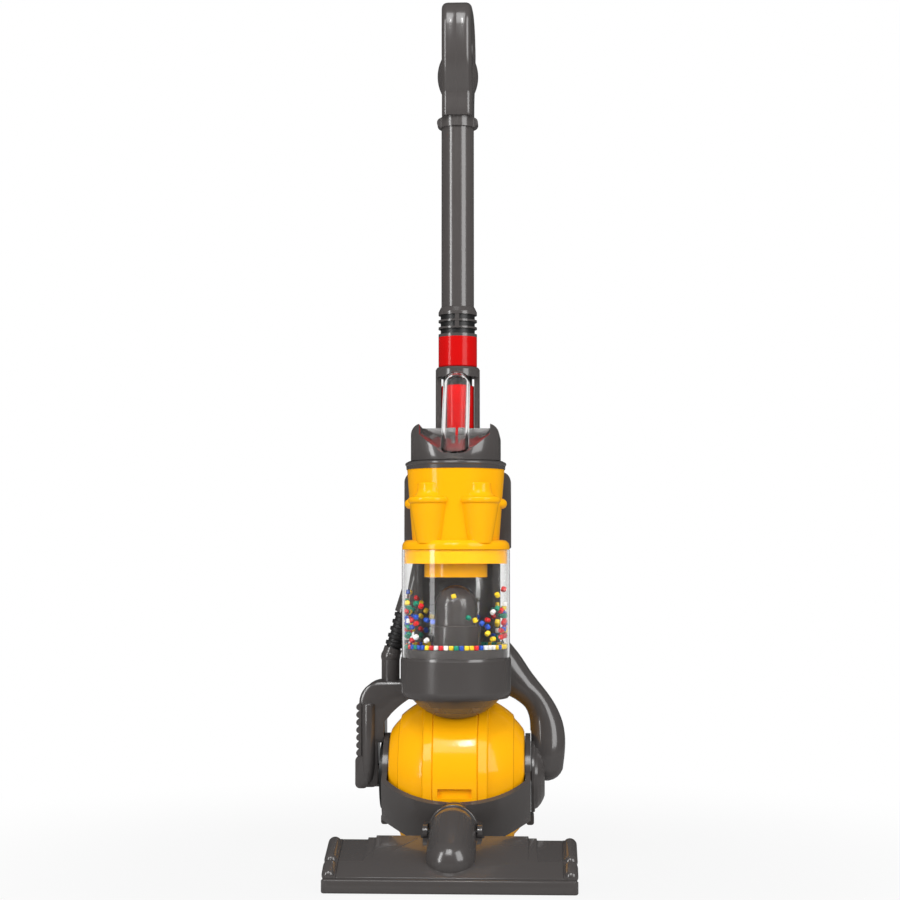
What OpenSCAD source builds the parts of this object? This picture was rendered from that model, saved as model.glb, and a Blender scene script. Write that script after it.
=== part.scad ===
// Toy upright vacuum cleaner: a floor head, a ball in a yoke, a clear bead bin, a cyclone and a wand.
// The body is drawn round the ball's axle: X to the right, Y to the back, Z up from the floor.

/* [Ball and yoke] */
// Diameter of the ball
ball_d = 130; // [124:1:134]
// Width of the ball across its two flat ends
ball_w = 104.6; // [98:0.2:106]
// Width of the centre band that the ball rolls on
band_w = 34; // [28:1:40]
// Width of the raised rib beside the band
rib_w = 7.6; // [5:0.2:9]
// Thickness of the ball's shells
ball_wall = 4; // [3:0.5:6]
// Diameter of the axle
axle_d = 8; // [6:0.5:10]
// Gap between the ball and the yoke's bowl
yoke_gap = 2.4; // [1.5:0.1:4]
// Thickness of the yoke's bowl and arms
yoke_wall = 4; // [3:0.2:4.6]
// Radius of the yoke's round arms
arm_r = 33; // [30:1:36]
// Height of the bowl's bottom edge
bowl_z = 19; // [17:0.5:22]
// Height of the bowl's rim at its sides
rim_side_z = 76; // [72:1:80]
// Height of the bowl's rim at its front
rim_front_z = 50; // [47:0.5:54]

/* [Neck] */
// Height of the neck's axis and pins
neck_z = 35; // [34:0.5:37]
// Distance of the neck pins in front of the axle
pin_reach = 96; // [95:0.5:98]
// Radius of the round end of the neck elbow
elbow_r = 17.6; // [16:0.2:18]
// Thickness of the neck collar at its rim
collar_t = 2.2; // [1.8:0.1:3]
// Diameter of the neck pins
neck_pin_d = 5; // [4:0.5:6]

/* [Floor head] */
// Width of the floor head
head_w = 181; // [170:1:200]
// Distance of the head's front edge in front of the axle
head_reach = 155; // [150:1:165]
// Distance of the head's back edge in front of the axle
head_back = 97; // [96.5:0.5:100]
// Height of the front lip
lip_h = 10.4; // [9:0.2:12]
// Height of the crease across the top
crease_h = 20; // [18:0.5:22]
// Height of the back edge beside the raised middle
back_h = 30; // [28:0.5:31]
// Height that the middle is raised at its back edge
raise_h = 3; // [1.5:0.5:4]
// Width of the raised middle
raise_w = 111; // [90:1:120]
// Thickness of the sole plate
sole_t = 3; // [2:0.5:4]
// Thickness of the head's shell
head_wall = 2.6; // [2:0.2:3.4]

/* [Bin] */
// Distance of the bin's axis in front of the axle
bin_reach = 38; // [36:0.5:40]
// Diameter of the clear bin
bin_d = 83; // [80:0.5:84]
// Thickness of the bin's wall
bin_wall = 1.6; // [1.2:0.1:2.2]
// Height of the clear bin
bin_h = 82; // [78:0.5:95]
// Diameter of the bin's base
base_d = 84.7; // [84.5:0.1:86]
// Height of the seat under the bin above the axle
seat_rise = 94.5; // [94:0.5:98]
// Height of the base's upright wall
base_wall_h = 25.5; // [22:0.5:27]
// Thickness of the bin's floor with its skirt
floor_h = 6.5; // [5:0.5:8]
// Diameter of the dome in the bin
dome_d = 33.2; // [30:0.2:36]
// Height of the dome above the bin's floor
dome_h = 48.5; // [44:0.5:54]
// Diameter of the ring round the dome's foot
dome_ring_d = 38.8; // [37:0.2:42]
// Height of the ring round the dome's foot
dome_ring_h = 18; // [14:0.5:20]
// Diameter of one bead
bead_d = 3.6; // [3:0.1:3.7]

/* [Cyclone] */
// Height of the lid above the bin
lid_h = 7.5; // [6:0.5:9]
// Depth of the lid inside the bin
lid_depth = 10.5; // [8:0.5:12]
// Height of the cyclone body
cyclone_h = 54; // [50:1:60]
// Diameter of the cyclone body at its top
cyclone_d = 75; // [72:0.5:76]
// Diameter of the cyclone body at its foot
cyclone_foot_d = 67; // [64:0.5:69]
// Radius of a bell at its rim
bell_r = 15; // [13:0.2:16]
// Radius of a bell's neck
bell_neck_r = 9; // [8:0.2:10]
// Height of the rim ring
rim_h = 6.5; // [5:0.5:8]
// Height of the top cover
cover_h = 27.5; // [26:0.5:32]
// Width of the top cover
cover_w = 67.5; // [64:0.5:70]

/* [Wand] */
// Diameter of the wand tube
tube_d = 25.9; // [24:0.1:26.5]
// Thickness of the wand tube
tube_wall = 2; // [1.5:0.1:3]
// Bare length of the wand tube between its collars
tube_len = 144; // [120:1:180]
// Diameter of the ribbed collar and the red cuff
cuff_d = 30.6; // [30:0.1:33]
// Height of the ribbed collar
ribbed_h = 24; // [22:0.5:28]
// Height of the red cuff
cuff_h = 24; // [20:0.5:30]
// Height of the red stem above the top cover
stem_h = 34; // [30:0.5:40]
// Height of the dark gap under the fork's ring
gap_h = 7; // [5:0.5:9]
// Height of the fork's ring
fork_h = 8; // [6:0.5:10]
// Diameter of the fork's ring
fork_d = 35; // [34.5:0.1:38]

/* [Handle] */
// Height of the handle loop
handle_h = 90.5; // [88:0.5:100]
// Width of the handle
handle_w = 23.1; // [22:0.1:26]
// Width across the round side bosses
boss_w = 32.7; // [29:0.1:34]
// Radius of the round side bosses
boss_r = 16.5; // [14:0.5:17]
// Height of the collar under the handle
collar_h = 8; // [7:0.5:10]

/* [Spine, pod and duct] */
// Depth of the spine behind the axle
spine_back = 30; // [29:0.5:34]
// Half width of the spine beside the bin
spine_low = 35.5; // [34:0.5:36]
// Half width of the spine beside the cyclone
spine_high = 42; // [40:0.5:43]
// Outer reach of the pod on the left
pod_reach = 79.6; // [78:0.2:84]
// Radius of the air duct at its foot
duct_r = 13.8; // [12:0.2:14]
// Diameter of one battery cell
cell_d = 10.5; // [10:0.1:10.8]
// Length of one battery cell
cell_h = 44.5; // [40:0.5:50]

/* [Hidden] */
$fn = 96;

grey = [0.31, 0.29, 0.28];
black = [0.09, 0.09, 0.09];
yellow = [1.0, 0.72, 0.0];
red = [0.88, 0.08, 0.08];
clear = [0.85, 0.87, 0.88, 0.35];
steel = [0.75, 0.75, 0.77];
bead_colors = [[0.86, 0.12, 0.12], [0.15, 0.33, 0.72], [0.0, 0.5, 0.42], [0.95, 0.82, 0.1], [0.96, 0.96, 0.94]];

// Clearances: running fit, sliding seat and free gap between bodies
run_fit = 0.06;
seat_fit = 0.05;
free_gap = 0.4;
eps = 0.01;

// Places along the height
ball_r = ball_d / 2;
axle_z = ball_r;
half_w = ball_w / 2;
seat_z = axle_z + seat_rise;
floor_z = seat_z + floor_h;
bin_top = seat_z + bin_h;
lid_top = bin_top + lid_h;
cyclone_top = lid_top + cyclone_h;
rim_top = cyclone_top + rim_h;
cover_top = rim_top + cover_h;
stem_top = cover_top + stem_h;
fork_z = stem_top + gap_h;
cuff_z = fork_z + fork_h;
ribbed_z = cuff_z + cuff_h;
tube_z = ribbed_z + ribbed_h;
collar_z = tube_z + tube_len;
handle_z = collar_z + collar_h;
handle_top = handle_z + handle_h;

// Places along the depth: the origin is under the middle of the whole depth
axle_y = (head_reach - ball_r) / 2;
bin_y = -bin_reach;

bin_r = bin_d / 2;
bin_in = bin_r - bin_wall;
base_r = base_d / 2;
tube_r = tube_d / 2;
axle_r = axle_d / 2;
scoop_r = ball_r + 1.6;

module in_frame() {
  translate([0, axle_y, 0])
    children();
}

module at_bin(z) {
  translate([0, bin_y, z])
    children();
}

// Turns a shape that stands on Z so that it points along X
module along_x() {
  rotate([0, 90, 0])
    children();
}

// Turns a shape that stands on Z so that it points to the front
module along_front() {
  rotate([90, 0, 0])
    children();
}

// Stands an outline of depth and height up and gives it a width across X
module across_x(x0, x1) {
  translate([x0, 0, 0])
    rotate([90, 0, 90])
      linear_extrude(x1 - x0)
        children();
}

// Stands an outline of width and height up and gives it a depth along Y
module through_y(y0, y1) {
  translate([0, y1, 0])
    rotate([90, 0, 0])
      linear_extrude(y1 - y0)
        children();
}

module ring(r_out, r_in, h) {
  difference() {
    cylinder(r = r_out, h = h);
    translate([0, 0, -1])
      cylinder(r = r_in, h = h + 2);
  }
}

module block(x, y, z) {
  translate([x[0], y[0], z[0]])
    cube([x[1] - x[0], y[1] - y[0], z[1] - z[0]]);
}

// The two ends of a length that starts at a place
function span(from, length) = [from, from + length];

function arc(cx, cy, r, a0, a1, n = 8) =
  [for (i = [0:n]) let (a = a0 + (a1 - a0) * i / n) [cx + r * cos(a), cy + r * sin(a)]];

// Smooth closed curve through control points, sampled at n places
function curve_at(p, t) =
  let (
    c = len(p),
    i = floor(t),
    f = t - i,
    a = p[(i + c - 1) % c],
    b = p[i % c],
    d = p[(i + 1) % c],
    e = p[(i + 2) % c]
  )
  b + (d - a) * f / 2 + (2 * a - 5 * b + 4 * d - e) * f * f / 2 + (3 * b - 3 * d + e - a) * f * f * f / 2;
function closed_curve(p, n) = [for (i = [0:n - 1]) curve_at(p, i * len(p) / n)];
function unit(v) = v / norm(v);

// Moves a closed outline inwards (positive) or outwards by a distance
function inset(p, d) =
  let (c = len(p))
  [for (i = [0:c - 1])
    let (t = unit(p[(i + 1) % c] - p[(i + c - 1) % c]))
    p[i] + d * [t[1], -t[0]]];

/* Handle */
handle_n = 60;
front_y = -30;
rear_y = 34;
mouth_z = handle_z + 48;
handle_outer = [[-14.2, handle_z - 6], [-17.6, handle_z + 16], [-18.8, handle_z + 20], [-25, handle_z + 33],
  [front_y + 1, handle_z + 47], [front_y, handle_z + 64], [front_y + 1, handle_top - 13],
  [front_y + 7, handle_top - 3], [-10, handle_top], [9, handle_top - 1.5], [25, handle_top - 11],
  [rear_y, handle_top - 27], [rear_y, handle_z + 52], [27, handle_z + 33], [19, handle_z + 16],
  [14.2, handle_z - 6]];
handle_inner = [[-3, mouth_z], [-13, mouth_z + 5], [-17, mouth_z + 16], [-14, handle_top - 16],
  [-2, handle_top - 11.5], [12, handle_top - 16], [21, mouth_z + 20], [21, mouth_z + 8], [11, mouth_z + 1]];
round_steps = 4;
round_r = 4.5;
rear_swell = 0.18;

// The loop is wider at its rear than at its front
function swell(y) = 1 + rear_swell * (y - front_y) / (rear_y - front_y);

// One half of the loop, from the seam to a rounded side
module handle_half() {
  outer = closed_curve(handle_outer, handle_n);
  inner = closed_curve(handle_inner, handle_n);
  width = handle_w / 2;
  rows = concat([[0, 0]],
    [for (i = [0:round_steps])
      let (a = 90 * i / round_steps) [width - round_r + round_r * sin(a), round_r * (1 - cos(a))]]);
  n = handle_n;
  count = len(rows);
  points = concat(
    [for (r = rows) for (p = inset(outer, r[1])) [r[0] * swell(p[0]), p[0], p[1]]],
    [for (r = rows) for (p = inset(inner, -r[1])) [r[0] * swell(p[0]), p[0], p[1]]]);
  in0 = count * n;
  last = (count - 1) * n;
  sides = [for (k = [0:count - 2]) for (i = [0:n - 1])
    let (j = (i + 1) % n, a = k * n + i, b = k * n + j)
    each [[a, b, a + n], [b, b + n, a + n], [in0 + a, in0 + a + n, in0 + b], [in0 + b, in0 + a + n, in0 + b + n]]];
  ends = [for (i = [0:n - 1])
    let (j = (i + 1) % n)
    each [[i, in0 + i, j], [j, in0 + i, in0 + j],
      [last + i, last + j, in0 + last + i], [last + j, in0 + last + j, in0 + last + i]]];
  polyhedron(points, concat(sides, ends), convexity = 6);
}

boss_y = 5;
boss_z = handle_z + 35.5;
boss_rise = (boss_w - handle_w) / 2;
boss_sphere = (boss_r * boss_r + boss_rise * boss_rise) / (2 * boss_rise);
plug_l = 14;

module handle_shell() {
  difference() {
    union() {
      handle_half();
      intersection() {
        translate([boss_w / 2 - boss_sphere, boss_y, boss_z])
          sphere(r = boss_sphere);
        translate([handle_w / 2 - round_r, boss_y, boss_z])
          along_x()
            cylinder(r = boss_r, h = boss_w);
      }
    }
    block([-1, boss_w], [front_y, rear_y], [handle_z - 20, handle_z]);
  }
  intersection() {
    translate([0, 0, handle_z - plug_l])
      cylinder(r = tube_r - tube_wall - seat_fit, h = plug_l + 1);
    block([0, tube_d], [-tube_d, tube_d], [handle_z - plug_l, handle_z + 1]);
  }
}

module handle_right_shell() {
  color(grey)
    in_frame()
      handle_shell();
}

module handle_left_shell() {
  color(grey)
    in_frame()
      mirror([1, 0, 0])
        handle_shell();
}

ear_reach = boss_w / 2;
ear_l = 12;

module handle_collar() {
  color(grey)
    in_frame()
      translate([0, 0, collar_z])
        difference() {
          union() {
            cylinder(r = tube_r + 1.6, h = collar_h);
            for (side = [-1, 1])
              translate([side * (ear_reach - collar_h / 2), -ear_l / 2, collar_h / 2])
                rotate([-90, 0, 0])
                  cylinder(d = collar_h, h = ear_l);
          }
          translate([0, 0, -1])
            cylinder(r = tube_r + seat_fit, h = collar_h + 2);
        }
}

cuff_floor = 2;
tube_foot = cuff_z + cuff_floor;

module wand_tube() {
  color(grey)
    in_frame()
      translate([0, 0, tube_foot])
        ring(tube_r, tube_r - tube_wall, handle_z - tube_foot);
}

// Heights of the three slots as shares of the ribbed collar, each with its height in millimetres
slot_places = [2.4, 8, 13.6];
slot_h = 4;
slot_t = 1.7;
web_w = 3.4;

module ribbed_profile() {
  r_in = tube_r + seat_fit;
  r = cuff_d / 2;
  difference() {
    polygon([[r_in, 0], [r, 0], [r, ribbed_h - 4], [r - 1.6, ribbed_h - 0.6], [r - 2, ribbed_h], [r_in, ribbed_h]]);
    for (z = slot_places)
      translate([r - slot_t, z])
        square([slot_t + 1, slot_h]);
  }
}

module wand_collar() {
  color(grey)
    in_frame()
      translate([0, 0, ribbed_z]) {
        rotate_extrude()
          ribbed_profile();
        intersection() {
          ring(cuff_d / 2 - 0.2, cuff_d / 2 - slot_t - 0.2, slot_places[2] + slot_h);
          for (side = [-1, 1])
            translate([-web_w / 2, side > 0 ? 0 : -cuff_d, slot_places[1] - 1])
              cube([web_w, cuff_d, ribbed_h]);
        }
      }
}

module release_cuff() {
  color(red)
    in_frame()
      translate([0, 0, cuff_z])
        difference() {
          rotate_extrude()
            polygon([[0, 0], [cuff_d / 2 - 0.8, 0], [cuff_d / 2, 0.8], [cuff_d / 2, cuff_h], [0, cuff_h]]);
          translate([0, 0, cuff_floor])
            cylinder(r = tube_r + seat_fit, h = cuff_h);
        }
}

stem_r = tube_r;
stem_foot = rim_top + 8.5;
arm_t = 4.3;
fork_arm_w = 10;

module wand_socket() {
  color(grey)
    in_frame()
      difference() {
        union() {
          translate([0, 0, fork_z])
            rotate_extrude()
              polygon([[0, 0], [fork_d / 2 - 0.6, 0], [fork_d / 2, 0.6], [fork_d / 2, fork_h - 2],
                [fork_d / 2 - 1, fork_h - 0.4], [fork_d / 2 - 1.8, fork_h], [0, fork_h]]);
          translate([0, 0, stem_top])
            cylinder(r = stem_r - 1.5, h = gap_h + 1);
          intersection() {
            translate([0, 0, cover_top])
              cylinder(d = fork_d, h = fork_z - cover_top + 1);
            for (side = [-1, 1])
              translate([side * (stem_r + 0.25 + arm_t / 2) - arm_t / 2, -fork_arm_w / 2, cover_top])
                cube([arm_t, fork_arm_w, fork_z - cover_top + 1]);
          }
        }
      }
}

module wand_stem() {
  color(red)
    in_frame()
      translate([0, 0, stem_foot])
        ring(stem_r, stem_r - 3, stem_top - stem_foot);
}

// Outline of the top cover seen from the front: a block with round top corners
corner_r = 8;

module cover_outline() {
  w = cover_w / 2;
  polygon(concat([[-w, cyclone_top], [w, cyclone_top]],
    arc(w - corner_r, cover_top - corner_r, corner_r, 0, 90),
    arc(-w + corner_r, cover_top - corner_r, corner_r, 90, 180)));
}

cover_front_r = cyclone_d / 2 - 0.5;
cover_back = spine_back - 10;
trough_z = rim_top + 3;
trough_w = 8;
trough_top = 27;

// The V-shaped trough that falls to the front between the shoulders
module cover_trough() {
  front = bin_y - cover_front_r - 5;
  rear = -stem_r;
  high = cover_top + 10;
  hull()
    for (side = [-1, 1])
      for (p = [[trough_w, front, trough_z], [trough_top, front, trough_z + 14], [trough_top, front, high],
        [trough_w + 5, rear, cover_top - 6], [trough_top, rear, cover_top + 0.5], [trough_top, rear, high]])
        translate([side * p[0], p[1], p[2]])
          cube(eps, center = true);
}

module cover_body() {
  difference() {
    intersection() {
      through_y(bin_y - cover_front_r, cover_back)
        cover_outline();
      union() {
        at_bin(rim_top)
          cylinder(r = cover_front_r, h = cover_h + 1);
        block([-cover_w, cover_w], [bin_y, cover_back], [rim_top, cover_top + 1]);
        block([-cover_w, cover_w], [bin_y + cyclone_d / 2 + 4, cover_back], [cyclone_top, rim_top + 1]);
      }
    }
    cover_trough();
  }
}

module top_cover() {
  color(grey)
    in_frame()
      difference() {
        cover_body();
        translate([0, 0, stem_foot])
          cylinder(r = stem_r + seat_fit, h = cover_h);
      }
}

grip_r = 10.7;
grip_wall = 2.6;
grip_foot = [0, bin_y - 27, rim_top];
grip_top = [0, -stem_r - 6.5, stem_top];

// A clear half tube that leans back from the trough to the stem and is closed by a round top
module carry_handle() {
  run = grip_top - grip_foot;
  lean = atan2(run[1], run[2]);
  color(clear)
    in_frame()
      difference() {
        translate(grip_foot)
          rotate([-lean, 0, 0])
            difference() {
              union() {
                translate([0, 0, -10])
                  cylinder(r = grip_r, h = norm(run) + 10);
                translate([0, 0, norm(run)])
                  sphere(r = grip_r);
              }
              translate([0, 0, -12])
                cylinder(r = grip_r - grip_wall, h = norm(run) + 12);
              translate([0, 0, norm(run)])
                sphere(r = grip_r - grip_wall);
              translate([-50, 1.5, -50])
                cube([100, 50, 250]);
            }
        cover_body();
        block([-50, 50], [-200, 50], [0, rim_top]);
        translate([0, 0, cover_top - 30])
          cylinder(r = stem_r + free_gap, h = 100);
        translate([0, 0, fork_z - free_gap])
          cylinder(r = fork_d / 2 + free_gap, h = 40);
      }
}

rim_r = 39;

module cyclone_rim() {
  color(grey)
    in_frame()
      at_bin(cyclone_top)
        rotate_extrude()
          polygon(concat([[28, 0], [rim_r - 1, 0]], arc(rim_r - 1.4, rim_h - 2.4, 1.4, -60, 60, 4),
            [[rim_r - 3, rim_h], [28, rim_h]]));
}

// One bell: a narrow neck that flares to a rim, and a cone that narrows to the foot
bell_reach = base_r - free_gap - bell_r;
bell_angles = [-135, -45, 45, 135];
bell_foot = 0.8;
bell_foot_r = bell_r - 5.4;
bell_top = cyclone_h - 11;
bell_flare = bell_top - 7;
bell_rim = bell_top - 11.2;
bell_rim_h = 3.8;

module bell() {
  rotate_extrude()
    polygon(concat([[0, bell_foot], [bell_foot_r, bell_foot], [bell_r - 1.2, bell_rim - bell_rim_h - 0.8],
      [bell_r - 0.3, bell_rim - bell_rim_h], [bell_r, bell_rim - bell_rim_h + 0.5], [bell_r, bell_rim - 0.5],
      [bell_r - 0.5, bell_rim]],
      arc(bell_r - 0.8, bell_flare + 0.6, bell_r - 0.8 - bell_neck_r, 265, 185, 6),
      [[bell_neck_r, bell_top - 0.7], [bell_neck_r - 0.7, bell_top], [0, bell_top]]));
}

side_boss_reach = 25.5;
side_boss_r = 14;
side_boss_round = 4;

// A round boss on each side, level with the rims of the bells
module side_boss() {
  rotate_extrude()
    polygon(concat([[0, bell_rim - 2 * side_boss_round]],
      arc(side_boss_r - side_boss_round, bell_rim - side_boss_round, side_boss_round, -90, 90, 8),
      [[0, bell_rim]]));
}

// Places a shape at an angle from the front and keeps only what stands out of the core
module on_core(angle, reach, core_r) {
  rotate(angle)
    difference() {
      translate([0, -reach, 0])
        children();
      translate([0, 0, -1])
        cylinder(r = core_r, h = cyclone_h);
    }
}

module cyclone_body() {
  wall = 3;
  r_top = cyclone_d / 2;
  r_foot = cyclone_foot_d / 2;
  core_r = r_foot - 0.4;
  color(yellow)
    in_frame()
      at_bin(lid_top)
        difference() {
          union() {
            cylinder(r1 = r_foot, r2 = r_top, h = cyclone_h);
            for (angle = bell_angles)
              on_core(angle, bell_reach, core_r)
                bell();
            for (angle = [-90, 90])
              on_core(angle, side_boss_reach, core_r)
                side_boss();
          }
          translate([0, 0, wall])
            cylinder(r = r_foot - wall - 1, h = cyclone_h);
        }
}

lid_r = bin_r - 0.2;
lid_round = 5;
lid_skin = 3;
inlet_r = 24.2;
inlet_h = 25.4;

module bin_lid() {
  color(yellow)
    in_frame()
      at_bin(0)
        rotate_extrude()
          polygon(concat([[0, lid_top], [0, lid_top - lid_skin], [bin_in - 3.6, lid_top - lid_skin],
            [bin_in - 3.6, bin_top - lid_depth], [bin_in - 0.3, bin_top - lid_depth], [bin_in - 0.3, bin_top],
            [lid_r - 0.3, bin_top], [lid_r, bin_top + 0.3]],
            arc(lid_r - lid_round, lid_top - lid_round, lid_round, 0, 90, 6)));
}

module bin_inlet_collar() {
  color(yellow)
    in_frame()
      at_bin(lid_top - lid_skin - inlet_h)
        ring(inlet_r, inlet_r - 2, inlet_h);
}

module bin_cylinder() {
  color(clear)
    in_frame()
      at_bin(seat_z)
        ring(bin_r, bin_in, bin_h);
}

floor_r = bin_in - 0.25;
skirt_t = 3.5;
floor_t = 3;
shaft_r = 1;

module bin_floor() {
  color(grey)
    in_frame()
      at_bin(seat_z)
        difference() {
          cylinder(r = floor_r, h = floor_h);
          translate([0, 0, -1])
            cylinder(r = floor_r - skirt_t, h = floor_h - floor_t + 1);
          cylinder(r = shaft_r + 1, h = floor_h + 1);
        }
}

dome_wall = 2.2;

module bin_dome() {
  r = dome_d / 2;
  rr = dome_ring_d / 2;
  shoulder = dome_h - r;
  color(grey)
    in_frame()
      at_bin(floor_z)
        rotate_extrude()
          polygon(concat([[r - dome_wall, 0], [rr, 0], [rr, dome_ring_h - 1], [rr - 0.8, dome_ring_h], [r, dome_ring_h]],
            arc(0, shoulder, r, 0, 90, 12), arc(0, shoulder, r - dome_wall, 90, 0, 12)));
}

base_cavity_r = 33;
base_cavity_z = axle_z + ball_r + 6;
base_round = 7;
bowl_r = 44;
bowl_drop = 29;

// The base is a pot whose round underside is scooped clear of the ball
module bin_base() {
  wall_z = seat_z - base_wall_h;
  foot_z = wall_z - base_round;
  color(grey)
    in_frame()
      difference() {
        at_bin(0)
          difference() {
            rotate_extrude()
              polygon(concat([[0, seat_z], [base_r - 0.5, seat_z], [base_r - 0.2, seat_z - 1.4], [base_r, seat_z - 2]],
                arc(base_r - base_round, wall_z, base_round, 0, -50, 5),
                [for (a = [60:-10:0]) [bowl_r * sin(a), foot_z + bowl_drop - bowl_r * cos(a)]]));
            translate([0, 0, base_cavity_z])
              cylinder(r = base_cavity_r, h = seat_z);
          }
        translate([-base_d, 0, axle_z])
          along_x()
            cylinder(r = scoop_r, h = 2 * base_d);
      }
}

motor_r = 10;
motor_h = 22;

module motor() {
  color(steel)
    in_frame()
      at_bin(base_cavity_z)
        difference() {
          union() {
            cylinder(r = motor_r, h = motor_h - 2);
            cylinder(r = 4, h = motor_h);
          }
          translate([0, 0, 3])
            cylinder(r = shaft_r + run_fit, h = motor_h);
        }
}

impeller_z = floor_z + 3;
impeller_h = 8;

module motor_shaft() {
  foot = base_cavity_z + 3 + free_gap;
  color(steel)
    in_frame()
      at_bin(foot)
        cylinder(r = shaft_r, h = impeller_z + impeller_h - foot);
}

module impeller() {
  blades = 6;
  tip_r = dome_d / 2 - dome_wall - 2;
  color(black)
    in_frame()
      at_bin(impeller_z)
        difference() {
          union() {
            cylinder(r = 3.2, h = impeller_h);
            cylinder(r = tip_r, h = 1.2);
            for (i = [0:blades - 1])
              rotate(i * 360 / blades)
                translate([0, -0.6, 0])
                  cube([tip_r - 0.5, 1.2, impeller_h - 1]);
          }
          translate([0, 0, -1])
            cylinder(r = shaft_r + 0.02, h = impeller_h + 2);
        }
}

/* Beads */
bead_step = bead_d * 1.4;
bead_gap = 0.2;
bead_ring_r = bin_in - bead_d / 2 - bead_gap;
bead_columns = floor(360 / (2 * asin(bead_step / 2 / (bead_ring_r - bead_d / 2))));
floor_beads = floor(360 / (2 * asin(bead_d * 0.53 / bead_ring_r)));
bead_rows = 9;

// A repeatable number from 0 to 1 for a place in the bin
function chance(a, b) =
  let (v = sin(a * 127.1 + b * 311.7 + 17) * 437.58)
  v - floor(v);

// Beads cling to the wall at the sides and thin out to the front, the back and the top
function bead_here(row, col) =
  let (angle = col * 360 / bead_columns)
  chance(row, col) < (0.14 + 0.7 * pow(abs(cos(angle)), 2.6)) * (1.12 - row / bead_rows);
function bead_color(row, col) = floor(chance(row + 31, col + 7) * 5);

// One bead against the wall, turned in the wall's own plane
module bead_at(angle, z, turn) {
  rotate(angle)
    translate([bead_ring_r, 0, z])
      rotate([turn, 0, 0])
        cylinder(d = bead_d, h = bead_d * 0.94, center = true, $fn = 24);
}

module beads(which) {
  first_z = bead_d * 1.75;
  color(bead_colors[which])
    in_frame()
      at_bin(floor_z + bead_gap) {
        for (col = [0:floor_beads - 1])
          if (bead_color(0, col) == which)
            bead_at(col * 360 / floor_beads, bead_d / 2, 0);
        for (row = [1:bead_rows - 1])
          for (col = [0:bead_columns - 1])
            if (bead_here(row, col) && bead_color(row, col) == which)
              bead_at(col * 360 / bead_columns, first_z + (row - 1 + chance(col, 3)) * bead_step, 180 * chance(col, row));
      }
}

/* Spine */
spine_z = axle_z + ball_r + 4;
back_r = 72;
back_skin = 2.6;
spine_front = -6;
nest_r = base_r + free_gap;

// Outline of the spine seen from the front, with round top corners
module spine_outline(less = 0) {
  r = corner_r;
  polygon(concat([[-spine_low + less, spine_z + less], [spine_low - less, spine_z + less],
    [spine_low - less, bin_top - 4], [spine_high - less, bin_top + 2]],
    arc(spine_high - r, cyclone_top - r, r - less, 0, 90),
    arc(-spine_high + r, cyclone_top - r, r - less, 90, 180),
    [[-spine_high + less, bin_top + 2], [-spine_low + less, bin_top - 4]]));
}

// Everything inside the curved back at a given depth under its skin
module spine_block(skin) {
  intersection() {
    through_y(spine_front, spine_back + 1)
      spine_outline();
    translate([0, spine_back - back_r, 0])
      cylinder(r = back_r - skin, h = handle_top);
  }
}

module nest() {
  at_bin(0)
    cylinder(r = nest_r, h = handle_top);
}

spine_wall = 3;
tray_y = bin_y + nest_r + 3;
tray_low = spine_z + 8;
tray_high = bin_top - 12;

module back_spine() {
  color(grey)
    in_frame()
      difference() {
        spine_block(back_skin);
        nest();
        block([-spine_low + spine_wall, spine_low - spine_wall], [tray_y, spine_back + 5], [tray_low, tray_high]);
        block([-spine_high + 5, spine_high - 5], [tray_y, spine_back + 5], [bin_top + 6, cyclone_top - 5]);
      }
}

cover_half = 26;
cover_low = spine_z + 11;
cover_high = cover_low + 62;
button_z = bin_top + 34;
button_r = 8;
button_travel = 2;

module cover_window(less) {
  through_y(0, spine_back + 5)
    polygon(concat(arc(cover_half - 4, cover_low + 4, 4 - less, -90, 0, 4),
      arc(cover_half - 4, cover_high - 4, 4 - less, 0, 90, 4),
      arc(-cover_half + 4, cover_high - 4, 4 - less, 90, 180, 4),
      arc(-cover_half + 4, cover_low + 4, 4 - less, 180, 270, 4)));
}

screw_r = 1.5;
screw_head_r = 2.6;
screw_x = cover_half - 4.5;
screw_z = (cover_low + cover_high) / 2;
screw_y = spine_back - back_r + sqrt(pow(back_r, 2) - pow(screw_x + screw_head_r, 2));

// A hole or a pin of one radius at both screw places, between two depths
module at_screws() {
  for (side = [-1, 1])
    translate([side * screw_x, screw_y, screw_z])
      along_front()
        children();
}

module spine_back_panel() {
  color(grey)
    in_frame()
      difference() {
        spine_block(0);
        translate([0, spine_back - back_r, 0])
          cylinder(r = back_r - back_skin, h = handle_top);
        cover_window(0);
        translate([0, 0, button_z])
          rotate([-90, 0, 0])
            cylinder(r = button_r + free_gap, h = spine_back + 5);
      }
}

vent_slots = 5;

module battery_cover() {
  color(grey)
    in_frame()
      difference() {
        intersection() {
          spine_block(0);
          cover_window(0.25);
        }
        translate([0, spine_back - back_r, 0])
          cylinder(r = back_r - back_skin, h = handle_top);
        at_screws()
          translate([0, 0, -10])
            cylinder(r = screw_r + 0.1, h = 30);
        at_screws()
          translate([0, 0, -10])
            cylinder(r = screw_head_r + 0.2, h = 10.8);
        for (i = [0:vent_slots - 1])
          block([-9, 9], [spine_back - 0.8, spine_back + 1], span(cover_high - 9 - i * 3, 1.4));
      }
}

module cover_screws() {
  color(steel)
    in_frame()
      at_screws()
        union() {
          translate([0, 0, -0.6])
            cylinder(r = screw_head_r, h = 1.4);
          cylinder(r = screw_r, h = 2.5);
        }
}

cell_step = cell_d + 0.9;
cell_y = tray_y + cell_d / 2 + 0.2;
contact_t = 0.6;
spring_h = 4;
cell_foot = tray_low + contact_t + spring_h;

module at_cells() {
  for (i = [-1.5:1:1.5])
    translate([i * cell_step, cell_y, 0])
      children();
}

module battery_cells() {
  color(steel)
    in_frame()
      at_cells()
        translate([0, 0, cell_foot]) {
          cylinder(d = cell_d, h = cell_h - 1);
          cylinder(d = cell_d / 3, h = cell_h);
        }
}

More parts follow.
